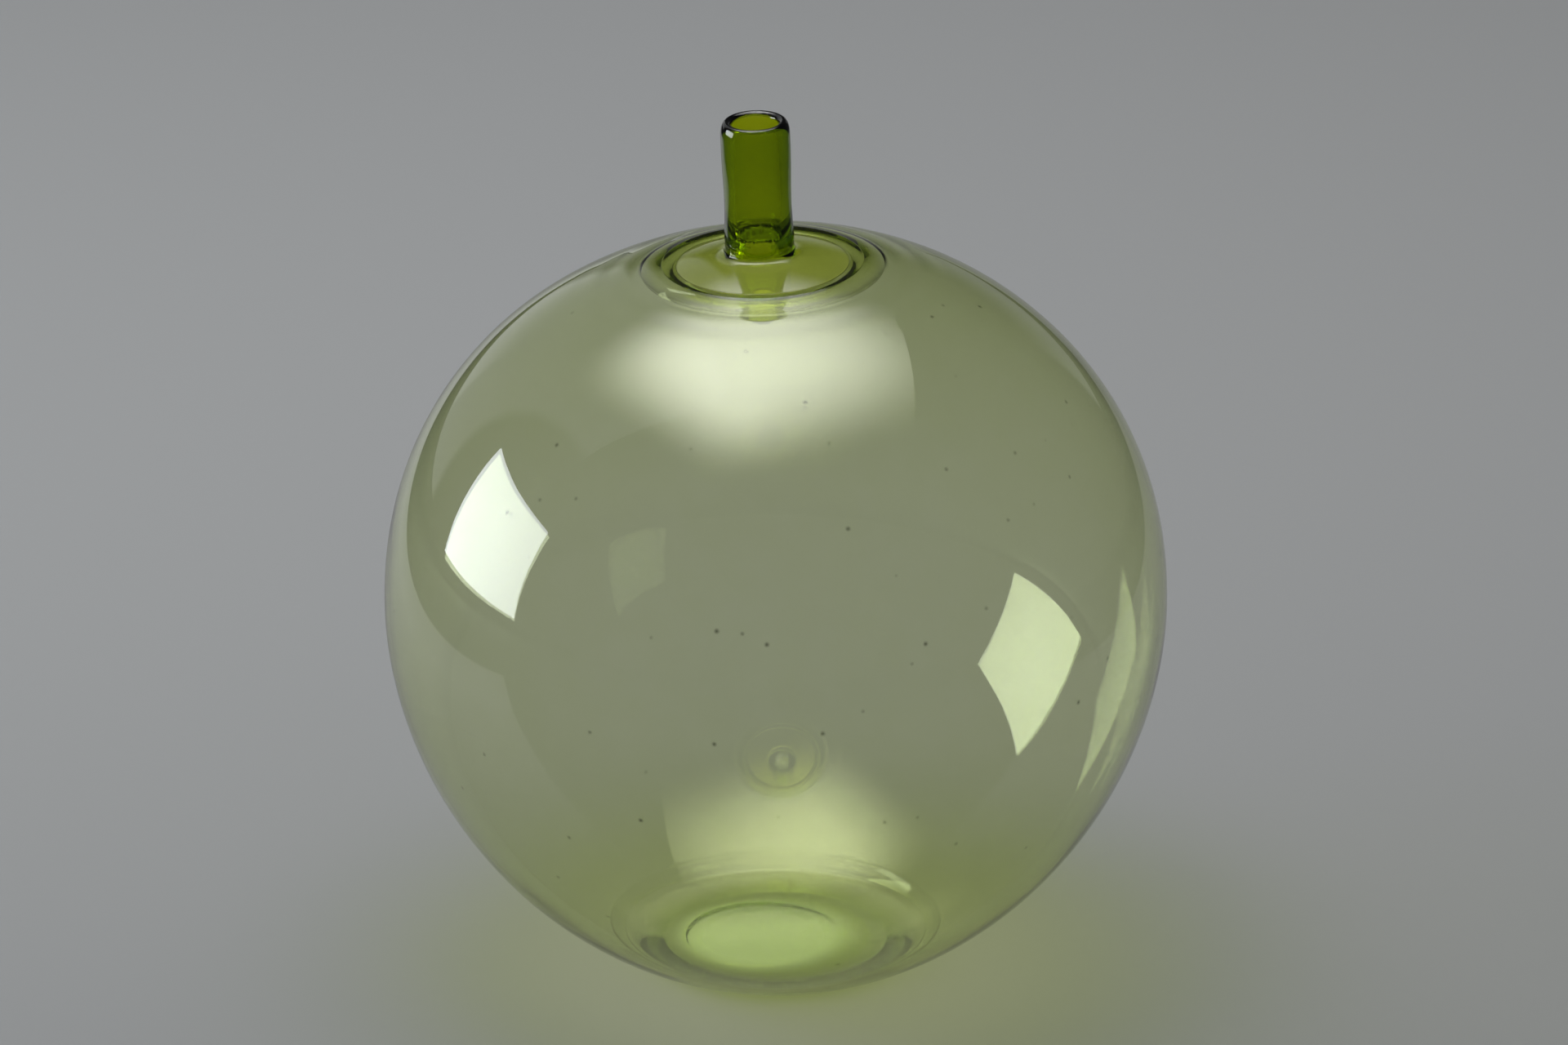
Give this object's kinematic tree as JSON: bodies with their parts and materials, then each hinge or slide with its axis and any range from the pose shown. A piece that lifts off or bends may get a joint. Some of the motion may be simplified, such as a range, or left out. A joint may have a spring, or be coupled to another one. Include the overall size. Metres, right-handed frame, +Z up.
{
  "type": "glass vase",
  "caption": "Round blown-glass vase with a short dark tubular neck on a domed disc, standing on a flat ring with a ground hollow in its middle.",
  "frame": {"origin": "centre of the plane that the vase stands on, under the globe's middle", "axes": "+Z up along the globe's axis; -X is the side that the neck leans to; -Y faces the viewer of the picture"},
  "size_m": [0.324, 0.324, 0.3705],
  "materials": {
    "pale_glass": "clear, pale yellow-green, fire-polished",
    "base_glass": "clear olive where it is thick, with a ground and polished hollow",
    "seam_glass": "clear olive, fire-polished",
    "crown_glass": "clear yellow-green, fire-polished",
    "dark_glass": "deep bottle green, fire-polished lip"
  },
  "bodies": {
    "root": {"globe": "pale_glass", "base_pad": "base_glass", "seam_bead": "seam_glass", "crown_disc": "crown_glass", "stem": "dark_glass"}
  },
  "joints": []
}
